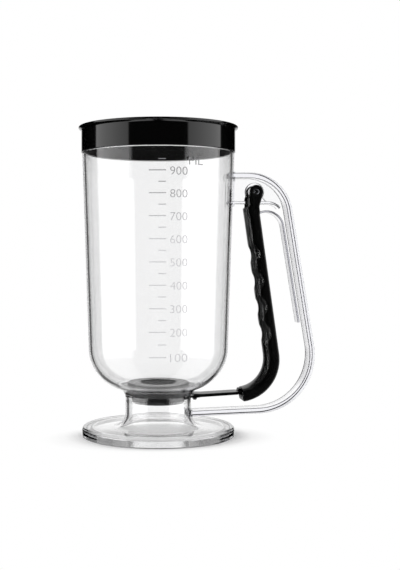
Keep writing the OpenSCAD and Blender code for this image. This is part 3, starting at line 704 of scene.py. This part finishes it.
class DISPENSER_OT_handle(bpy.types.Operator):
    """Draws the handle's strip round its two corners and unites web, rib, gusset, hub and pads with it"""
    bl_idname = "dispenser.handle"
    bl_label = "Handle frame"

    def execute(self, context):
        scene = context.scene
        s, j = scene.dispenser_handle, scene.dispenser_jar
        f, t = scene.dispenser_foot, scene.dispenser_trigger
        rib_z = t.pivot_z - s.rib_drop
        boss = rod(s.boss_r, s.boss_w, t.pivot_x, t.pivot_z, EASED, 64)
        hub = rod(s.hub_r, s.hub_w, t.pivot_x, t.pivot_z, CRISP)
        solid = combined(self.strip(s, j), "UNION", self.web(s, j, t, rib_z), self.rib(s, t, rib_z),
                         self.gusset(s, t, rib_z), self.upper_pad(s, j, rib_z), self.lower_pad(s, j),
                         boss, hub)
        bore = rod(s.bore_r, 3 * s.hub_w, t.pivot_x, t.pivot_z)
        solid = combined(solid, "DIFFERENCE", jar_solid(j), foot_solid(j, f), bore)
        piece("handle_shell", solid, "jar_body", handle_san(), ["handle_frame"], 30)
        return {"FINISHED"}

    def strip(self, s, j):
        """The flange: out from the jar, round the upper corner, down the leg, round the lower corner and in to
        the neck."""
        up, low, leg, run, _ = handle_path(s, j)
        lean, slope, mid = math.degrees(s.lean), math.degrees(s.slope), s.thick / 2
        leg_down = (low + (s.lower_r - mid) * leg) - (up + (s.upper_r - mid) * leg)
        run_dir = Vector((-math.cos(s.slope), -math.sin(s.slope)))
        run_len = (low.x + (s.lower_r - mid) * run.x - NECK_INSIDE) / math.cos(s.slope)
        bm, cap = section(s.width, s.thick, s.edge, (WALL_INSIDE, s.top_z - mid))
        return drawn(bm, cap, (up.x - WALL_INSIDE, 0), (*up, lean - 90, 64), tuple(leg_down),
                     (*low, slope - 90 - lean, 72), tuple(run_dir * run_len))

    def web(self, s, j, t, rib_z):
        """The thin plate that fills the upper corner above the rib."""
        up = handle_path(s, j)[0]
        low_z, high_z, past_leg = rib_z - s.rib / 2, s.top_z - s.thick / 2, 12
        return plate(outline((WALL_INSIDE, low_z), (WALL_INSIDE, high_z), (up.x, high_z),
                             (*up, math.degrees(s.lean) + past_leg - 90, 40), (t.pivot_x + s.rib_out, low_z),
                             (WALL_INSIDE, low_z)), s.web)

    def rib(self, s, t, rib_z):
        """The rib under the web, whose end curls down."""
        end_x, edge, curl = t.pivot_x + s.rib_out, 0.0005, 51
        bm, cap = section(s.rib_w, s.rib, edge, (WALL_INSIDE, rib_z - s.rib / 2))
        return drawn(bm, cap, (end_x - WALL_INSIDE, 0), (end_x, rib_z - s.rib_curl, -curl, 12))

    def gusset(self, s, t, rib_z):
        """The three-cornered stay on the rib beyond the pivot."""
        near, far, low, high, inset = 0.002, 0.0082, -0.0004, 0.0066, 0.0015
        corner = (t.pivot_x + near, rib_z + low)
        return plate(outline(corner, (t.pivot_x + far, rib_z + low), (t.pivot_x + near, rib_z + high), corner),
                     s.rib_w - 2 * inset, CRISP)

    def upper_pad(self, s, j, rib_z):
        """The thin curved pad on the jar's wall, with the flange's flared end."""
        below_rib, past_strip, flare_round, out = 0.0016, 0.0013, 0.0022, 0.020
        low_z, flare_h = rib_z - s.rib - below_rib, s.thick + past_strip
        bm = block((WALL_INSIDE, -s.pad_w / 2, low_z), (WALL_INSIDE + out, s.pad_w / 2, s.top_z), ROUNDED)
        flare_bm, flare_cap = section(s.flare_w, flare_h, flare_round, (WALL_INSIDE, s.top_z - flare_h / 2))
        flare = drawn(flare_bm, flare_cap, (out, 0))
        skin = turned(outline((0, low_z), (jar_wall_r(j, low_z) + s.pad, low_z),
                              (jar_wall_r(j, s.top_z) + s.pad, s.top_z), (0, s.top_z)), j.around)
        return eased(combined(combined(bm, "UNION", flare), "INTERSECT", skin), EASED)

    def lower_pad(self, s, j):
        """The thin curved pad on the neck."""
        below_run, above_run, out = 0.0004, 0.0006, 0.014
        bm = block((NECK_INSIDE, -s.pad_w / 2, s.run_z - below_run),
                   (NECK_INSIDE + out, s.pad_w / 2, s.run_z + s.thick + above_run), ROUNDED)
        skin_r, low_z, high_z = j.collar_r + s.pad, s.run_z - 0.001, s.run_z + 0.006
        skin = turned(outline((0, low_z), (skin_r, low_z), (skin_r, high_z), (0, high_z)), j.around)
        return eased(combined(bm, "INTERSECT", skin), EASED)


class DISPENSER_OT_trigger(bpy.types.Operator):
    """Eases the edges of the trigger lever, cuts its fingertip hollows, and gives the valve arm that it pulls the
    lever's finish
    """
    bl_idname = "dispenser.trigger"
    bl_label = "Trigger and arm"

    def execute(self, context):
        s = context.scene.dispenser_trigger
        black = lever_abs(s.colour)
        thumbs = [self.thumb(s, side, s.first_thumb + i * s.thumb_pitch)
                  for i in range(s.thumbs) for side in (-1, 1)]
        bm = bmesh.new()
        bm.from_mesh(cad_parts["trigger_lever"].data)
        bmesh.ops.remove_doubles(bm, verts=bm.verts, dist=10 * WELD)
        bm = softened(bm, s.grain, 4)
        bm = combined(relaxed(bm, self.front_corners(s, bm), 160), "DIFFERENCE", *thumbs)
        piece("trigger_moulding", softened(bm, s.grain, 14), "trigger", black,
              ["trigger_lever"], 180)
        paint("valve_arm", black)
        return {"FINISHED"}

    def front_corners(self, s, bm):
        """Weight of each vertex: full on the long corners beside the lever's front, none on its fork and back."""
        bm.normal_update()
        pivot = Vector((s.pivot_x, 0, s.pivot_z))
        middle, facing_front, fork_end, heel = 0.0005, -0.5, 0.020, 0.125
        front = [v.co for v in bm.verts if abs(v.co.y) < middle and v.normal.x - v.normal.z < facing_front
                 and fork_end < (v.co - pivot).length < heel]
        tree = KDTree(len(front))
        for i, co in enumerate(front):
            tree.insert((co.x, 0, co.z), i)
        tree.balance()
        from_y, to_gap, fade = 0.0025, 0.0045, 0.001
        weights = []
        for v in bm.verts:
            gap = tree.find((v.co.x, 0, v.co.z))[2]
            aside = min(1, max(0, (abs(v.co.y) - from_y) / fade))
            weights.append(aside * min(1, max(0, (to_gap - gap) / fade)))
        return weights

    def thumb(self, s, side, down):
        """The round hollow that a fingertip leaves in the lever's side, at a distance down from the pivot."""
        size, forward, aside, lean = (0.0050, 0.0040, 0.0067), 0.0078, 0.0096, math.radians(8)
        bm = bmesh.new()
        bmesh.ops.create_uvsphere(bm, u_segments=48, v_segments=24, radius=1)
        bmesh.ops.scale(bm, vec=size, verts=bm.verts)
        bmesh.ops.translate(bm, vec=(-forward, side * aside, -down), verts=bm.verts)
        bmesh.ops.rotate(bm, matrix=Matrix.Rotation(-lean, 3, "Y"), verts=bm.verts)
        bmesh.ops.translate(bm, vec=(s.pivot_x, 0, s.pivot_z), verts=bm.verts)
        return bm


class DISPENSER_OT_spring(bpy.types.Operator):
    """Draws the clear leaf spring from the lever's channel over its crest and down beside the leg"""
    bl_idname = "dispenser.spring"
    bl_label = "Leaf spring"

    def execute(self, context):
        s, j = context.scene.dispenser_spring, context.scene.dispenser_jar
        h, t = context.scene.dispenser_handle, context.scene.dispenser_trigger
        _, _, leg, _, leg_c = handle_path(h, j)
        spring_c = leg_c - h.thick - s.gap
        crest_z = t.pivot_z - h.rib_drop - h.rib - s.crest_gap - s.crest_r
        crest = Vector(((spring_c - s.crest_r - leg.y * crest_z) / leg.x, crest_z))
        mid_r, edge = s.crest_r - s.thick / 2, 0.00035
        root_dir = Vector((-math.sin(s.root_turn), math.cos(s.root_turn)))
        root = crest + mid_r * Vector((math.cos(s.root_turn), math.sin(s.root_turn))) + s.root * root_dir
        leaf = (crest.y + mid_r * leg.y - t.pivot_z + s.tip_drop) / leg.x
        bm, cap = section(s.width, s.thick, edge, root, -(s.root_turn - math.pi / 2))
        strip = drawn(bm, cap, tuple(-s.root * root_dir), (*crest, math.degrees(h.lean - s.root_turn), 24),
                      (leaf * leg.y, -leaf * leg.x))
        first_cut, cut_pitch = 0.128, 0.011
        for i in range(5):                      # cuts across the straight part
            bmesh.ops.bisect_plane(strip, geom=strip.verts[:] + strip.edges[:] + strip.faces[:],
                                   plane_co=(0, 0, first_cut - i * cut_pitch), plane_no=UP)
        spring = piece("spring_leaf", strip, None, spring_san(), ["leaf_spring"], 30)
        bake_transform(spring)
        return {"FINISHED"}


def paint(node, material):
    """Gives a CAD node that stays as it is its real finish."""
    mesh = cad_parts[node].data
    mesh.materials.clear()
    mesh.materials.append(material)


class DISPENSER_OT_valve(bpy.types.Operator):
    """Finishes the valve body, lock nut, gaskets and sliding gate"""
    bl_idname = "dispenser.valve"
    bl_label = "Valve and gate"

    def execute(self, context):
        for node in ("valve_body", "valve_nut", "gate_plate"):
            paint(node, valve_pp())
        for node in ("floor_gasket", "gate_seal"):
            paint(node, seal_silicone())
        return {"FINISHED"}


class DISPENSER_OT_pin(bpy.types.Operator):
    """Finishes the pivot pin"""
    bl_idname = "dispenser.pin"
    bl_label = "Pivot pin"

    def execute(self, context):
        t = context.scene.dispenser_trigger
        paint("pivot_pin", pin_steel(t.pivot_x, t.pivot_z))
        return {"FINISHED"}


class DISPENSER_OT_scale(bpy.types.Operator):
    """Prints the scale of marks, figures and unit on the front of the jar"""
    bl_idname = "dispenser.scale"
    bl_label = "Scale"

    def execute(self, context):
        s, j = context.scene.dispenser_scale, context.scene.dispenser_jar
        face = bmesh.new()
        heights = [s.second_z + (i - 1) * s.pitch - (i - 1) * (i - 2) / 2 * s.closing for i in range(10)]
        heights[0] -= s.bowl
        for i, (z, above) in enumerate(zip(heights, heights[1:])):
            mark(face, s.short_w - s.long_w, s.short_w, z, s.mark_t)
            mark(face, 0.0, s.short_w, (z + above) / 2, s.mark_t)
            write(face, str(100 * (i + 1)), s.figure_x, s.figure_x + s.figure_w,
                  z - s.figure_h / 2 - s.figure_low, s.figure_h)
        write(face, "ML", s.unit_x, s.unit_x + s.unit_w, s.unit_z, s.figure_h)
        bmesh.ops.remove_doubles(face, verts=face.verts, dist=WELD)
        longest = 0.0012
        bmesh.ops.subdivide_edges(face, edges=[e for e in face.edges if e.calc_length() > longest], cuts=3)
        for v in face.verts:
            radius = jar_wall_r(j, v.co.z) + AIR
            round_to = s.turn + math.asin(v.co.x / radius)
            v.co = (radius * math.cos(round_to), radius * math.sin(round_to), v.co.z)
        ink = piece("scale_print", face, "jar_body", scale_ink(s.ink), (), 180)
        film = ink.modifiers.new("Film", "SOLIDIFY")
        film.thickness, film.offset = 0.02 * MM, 1
        return {"FINISHED"}


def mark(bm, left, right, z, thick):
    """A flat mark of the scale."""
    grid = bmesh.ops.create_grid(bm, x_segments=6, y_segments=1, size=0.5)["verts"]
    bmesh.ops.scale(bm, vec=(right - left, thick, 1), verts=grid)
    bmesh.ops.rotate(bm, matrix=Matrix.Rotation(math.pi / 2, 3, "X"), verts=grid)
    bmesh.ops.translate(bm, vec=((left + right) / 2, 0, z), verts=grid)


def write(bm, words, left, right, low, high):
    """Flat lettering between left and right, standing on low."""
    curve = bpy.data.curves.new("words", "FONT")
    curve.body, curve.size, curve.resolution_u, curve.offset = words, 1.0, 4, -0.012
    obj = bpy.data.objects.new("words", curve)
    bpy.context.scene.collection.objects.link(obj)
    graph = bpy.context.evaluated_depsgraph_get()
    flat = bmesh.new()
    flat.from_mesh(obj.evaluated_get(graph).to_mesh())
    bpy.data.objects.remove(obj)
    bpy.data.curves.remove(curve)
    xs, ys = [v.co.x for v in flat.verts], [v.co.y for v in flat.verts]
    sx, sy = (right - left) / (max(xs) - min(xs)), high / (max(ys) - min(ys))
    bmesh.ops.translate(flat, vec=(-min(xs), -min(ys), 0), verts=flat.verts)
    bmesh.ops.scale(flat, vec=(sx, sy, 1), verts=flat.verts)
    bmesh.ops.rotate(flat, matrix=Matrix.Rotation(math.pi / 2, 3, "X"), verts=flat.verts)
    bmesh.ops.translate(flat, vec=(left, 0, low), verts=flat.verts)
    mesh = bpy.data.meshes.new("words")
    flat.to_mesh(mesh)
    flat.free()
    bm.from_mesh(mesh)
    bpy.data.meshes.remove(mesh)


class DISPENSER_OT_stage(bpy.types.Operator):
    """Lays the pale floor, lights the studio and sets the camera"""
    bl_idname = "dispenser.stage"
    bl_label = "Stage"

    def execute(self, context):
        s = context.scene.dispenser_stage
        bm = bmesh.new()
        bmesh.ops.create_circle(bm, cap_ends=True, segments=96, radius=s.floor)
        floor = as_object("floor", bm)
        floor.data.materials.append(floor_paper())
        floor.visible_glossy = False
        context.scene.world = studio_world(s.turn)
        camera = bpy.data.cameras.new("camera")
        camera.lens, camera.shift_x, camera.shift_y = s.lens, s.left / s.frame_h, -s.raised / s.frame_h
        camera.clip_start, camera.clip_end = 0.01, 20
        eye = bpy.data.objects.new("camera", camera)
        eye.location = (s.distance * math.sin(s.turn), -s.distance * math.cos(s.turn), s.eye)
        eye.rotation_euler = (math.pi / 2, 0, s.turn)
        context.scene.collection.objects.link(eye)
        context.scene.camera = eye
        context.scene.view_settings.view_transform = "Standard"
        return {"FINISHED"}


def floor_paper():
    """White sweep paper: it takes the soft shadow under the foot, lightened by a painted glow that is none at the
    foot's rim and six tenths a centimetre from it, and burns out to plain white further off.
    """
    shade_in, shade_out, foot_r, near_foot = 0.052, 0.078, 0.0505, 0.010
    material, tree = new_material("paper_white")
    place = add_node(tree, "ShaderNodeTexCoord")
    oval = add_node(tree, "ShaderNodeMapping", {"Scale": (1, 1.5, 1), "Location": (0, 0.015, 0)},
                    {"Vector": place.outputs["Object"]})
    reach = add_node(tree, "ShaderNodeVectorMath", {"operation": "LENGTH"}, {0: oval.outputs["Vector"]})
    away = add_node(tree, "ShaderNodeVectorMath", {"operation": "LENGTH"}, {0: place.outputs["Object"]})
    beside = add_node(tree, "ShaderNodeMath", {"operation": "SUBTRACT", 1: foot_r},
                      {0: away.outputs["Value"]})
    apart = add_node(tree, "ShaderNodeMath", {"operation": "ABSOLUTE"}, {0: beside.outputs[0]})
    # painted glow: emission takes over part of the paper away from the foot's rim, so that the shadow stays
    # darkest at the rim
    near = add_node(tree, "ShaderNodeMapRange",
                    {"From Min": 0.0, "From Max": near_foot, "To Min": 0.0, "To Max": 0.6},
                    {"Value": apart.outputs[0]})
    fade = add_node(tree, "ShaderNodeMapRange",
                    {"interpolation_type": "SMOOTHSTEP", "From Min": shade_in, "From Max": shade_out},
                    {"Value": reach.outputs["Value"]})
    paper = add_node(tree, "ShaderNodeBsdfDiffuse", {"Color": (0.97, 0.97, 0.97, 1)})
    glow = add_node(tree, "ShaderNodeEmission", {"Color": (1, 1, 1, 1), "Strength": 1.0})
    open_air = add_node(tree, "ShaderNodeBsdfTransparent")
    path = add_node(tree, "ShaderNodeLightPath")
    burnt = add_node(tree, "ShaderNodeMixShader", {},
                     {0: path.outputs["Is Camera Ray"], 1: open_air.outputs[0], 2: glow.outputs[0]})
    lit = add_node(tree, "ShaderNodeMixShader", {},
                   {0: near.outputs["Result"], 1: paper.outputs[0], 2: glow.outputs[0]})
    mixed = add_node(tree, "ShaderNodeMixShader", {},
                     {0: fade.outputs["Result"], 1: lit.outputs[0], 2: burnt.outputs[0]})
    add_node(tree, "ShaderNodeOutputMaterial", {}, {"Surface": mixed.outputs[0]})
    return material


def gray(level):
    return (level, level, level, 1)


def studio_world(turn):
    """White all round for what is lit and seen directly. Gloss and clear edges meet the studio's own layout: a
    white wall behind, tall softboxes at both sides, one overhead, and dark between them. Light that only passes
    through clear walls finds it paler than light that they also reflect, so that the jar stays clear from every
    side."""
    wall, softbox, dark, dim = 0.53, 1.0, 0.06, 0.45
    world = bpy.data.worlds.new("studio")
    world.cycles.sampling_method = "NONE"
    world.use_nodes = True
    tree = world.node_tree
    tree.nodes.clear()
    place = add_node(tree, "ShaderNodeTexCoord")
    facing = add_node(tree, "ShaderNodeMapping", {"vector_type": "VECTOR", "Rotation": (0, 0, -turn)},
                      {"Vector": place.outputs["Generated"]})
    parts = add_node(tree, "ShaderNodeSeparateXYZ", {}, {0: facing.outputs[0]})
    side = add_node(tree, "ShaderNodeMath", {"operation": "ARCTAN2"},
                    {0: parts.outputs["X"], 1: parts.outputs["Y"]})
    off = add_node(tree, "ShaderNodeMath", {"operation": "ABSOLUTE"}, {0: side.outputs[0]})
    share = add_node(tree, "ShaderNodeMath", {"operation": "DIVIDE", 1: math.pi}, {0: off.outputs[0]})

    layouts = {                                 # brightness at so many degrees off the wall behind
        "gloss": ((0, 0.5), (17, 0.5), (21, 0.0), (75, 0.0), (77, softbox), (105, 0.85), (135, 0.55),
                  (137, 0.0), (180, 0.0)),
        "reflected": ((0, wall), (23, wall), (27, dark), (74, dark), (80, softbox), (137, softbox),
                      (141, dark), (180, dark)),
        "passed": ((0, wall), (23, wall), (30, dim), (74, dim), (80, softbox), (137, softbox), (141, dim),
                   (162, dim), (168, wall), (180, wall)),
    }
    level = {}
    for name, stops in layouts.items():
        ramp = add_node(tree, "ShaderNodeValToRGB", {}, {0: share.outputs[0]})
        ramp.color_ramp.interpolation = "LINEAR"
        while len(ramp.color_ramp.elements) > 1:
            ramp.color_ramp.elements.remove(ramp.color_ramp.elements[0])
        ramp.color_ramp.elements[0].position = stops[0][0] / 180
        ramp.color_ramp.elements[0].color = gray(stops[0][1])
        for degrees, brightness in stops[1:]:
            ramp.color_ramp.elements.new(degrees / 180).color = gray(brightness)
        level[name] = ramp.outputs[0]

    overhead = add_node(tree, "ShaderNodeMapRange", {"From Min": 0.80, "From Max": 0.88},
                        {"Value": parts.outputs["Z"]})
    steep = add_node(tree, "ShaderNodeMath", {"operation": "ABSOLUTE"}, {0: parts.outputs["Z"]})
    beyond = add_node(tree, "ShaderNodeMapRange", {"From Min": 0.26, "From Max": 0.34},
                      {"Value": steep.outputs[0]})
    below = add_node(tree, "ShaderNodeMapRange", {"From Min": -0.19, "From Max": -0.24},
                     {"Value": parts.outputs["Z"]})
    roofed = add_node(tree, "ShaderNodeMix", {"data_type": "RGBA", 7: gray(0.2)},
                      {0: overhead.outputs["Result"], 6: level["gloss"]})
    reflected = add_node(tree, "ShaderNodeMix", {"data_type": "RGBA", 7: gray(0.1)},
                         {0: beyond.outputs["Result"], 6: level["reflected"]})
    aloft = add_node(tree, "ShaderNodeMix", {"data_type": "RGBA", 7: gray(0.1)},
                     {0: beyond.outputs["Result"], 6: level["passed"]})
    passed = add_node(tree, "ShaderNodeMix", {"data_type": "RGBA", 7: gray(0.5)},
                      {0: below.outputs["Result"], 6: aloft.outputs[2]})
    path = add_node(tree, "ShaderNodeLightPath")
    bounced = add_node(tree, "ShaderNodeMath", {"operation": "MINIMUM", 1: 1.0},
                       {0: path.outputs["Glossy Depth"]})
    through = add_node(tree, "ShaderNodeMix", {"data_type": "RGBA"},
                       {0: bounced.outputs[0], 6: passed.outputs[2], 7: reflected.outputs[2]})
    gloss = add_node(tree, "ShaderNodeMix", {"data_type": "RGBA", 6: gray(0.5)},
                     {0: path.outputs["Is Glossy Ray"], 7: roofed.outputs[2]})
    seen = add_node(tree, "ShaderNodeMix", {"data_type": "RGBA"},
                    {0: path.outputs["Is Transmission Ray"], 6: gloss.outputs[2], 7: through.outputs[2]})
    sky = add_node(tree, "ShaderNodeBackground", {"Strength": 2.0}, {"Color": seen.outputs[2]})
    add_node(tree, "ShaderNodeOutputWorld", {}, {"Surface": sky.outputs[0]})
    return world


# ------------------------------------------------------------------------------------------------- add-on


class DISPENSER_PT_pieces(bpy.types.Panel):
    """Lists the dispenser's sizes and the operators that make its pieces"""
    bl_idname = "DISPENSER_PT_pieces"
    bl_label = "Batter Dispenser"
    bl_space_type = "VIEW_3D"
    bl_region_type = "UI"
    bl_category = "Dispenser"

    def draw(self, context):
        for name, operator in PIECES:
            box = self.layout.box()
            box.operator(operator.bl_idname)
            sizes = getattr(context.scene, "dispenser_" + name, None)
            if sizes:
                for prop in sizes.bl_rna.properties:
                    if prop.identifier not in ("rna_type", "name"):
                        box.prop(sizes, prop.identifier)


SIZES = {
    "jar": JarSizes, "lid": LidSizes, "foot": FootSizes, "handle": HandleSizes, "trigger": TriggerSizes,
    "spring": SpringSizes, "scale": ScaleSizes, "stage": StageSizes,
}
PIECES = [
    ("stage", DISPENSER_OT_stage), ("jar", DISPENSER_OT_jar), ("lid", DISPENSER_OT_lid),
    ("foot", DISPENSER_OT_foot), ("handle", DISPENSER_OT_handle), ("trigger", DISPENSER_OT_trigger),
    ("spring", DISPENSER_OT_spring), ("valve", DISPENSER_OT_valve), ("pin", DISPENSER_OT_pin),
    ("scale", DISPENSER_OT_scale),
]
CLASSES = [*SIZES.values(), *(operator for _, operator in PIECES), DISPENSER_PT_pieces]


def register():
    for cls in CLASSES:
        bpy.utils.register_class(cls)
    for name, sizes in SIZES.items():
        setattr(bpy.types.Scene, "dispenser_" + name, PointerProperty(type=sizes))


def unregister():
    for name in SIZES:
        delattr(bpy.types.Scene, "dispenser_" + name)
    for cls in reversed(CLASSES):
        bpy.utils.unregister_class(cls)


def main():
    register()
    for name, _ in PIECES:
        getattr(bpy.ops.dispenser, name)()


if __name__ == "__main__":
    main()
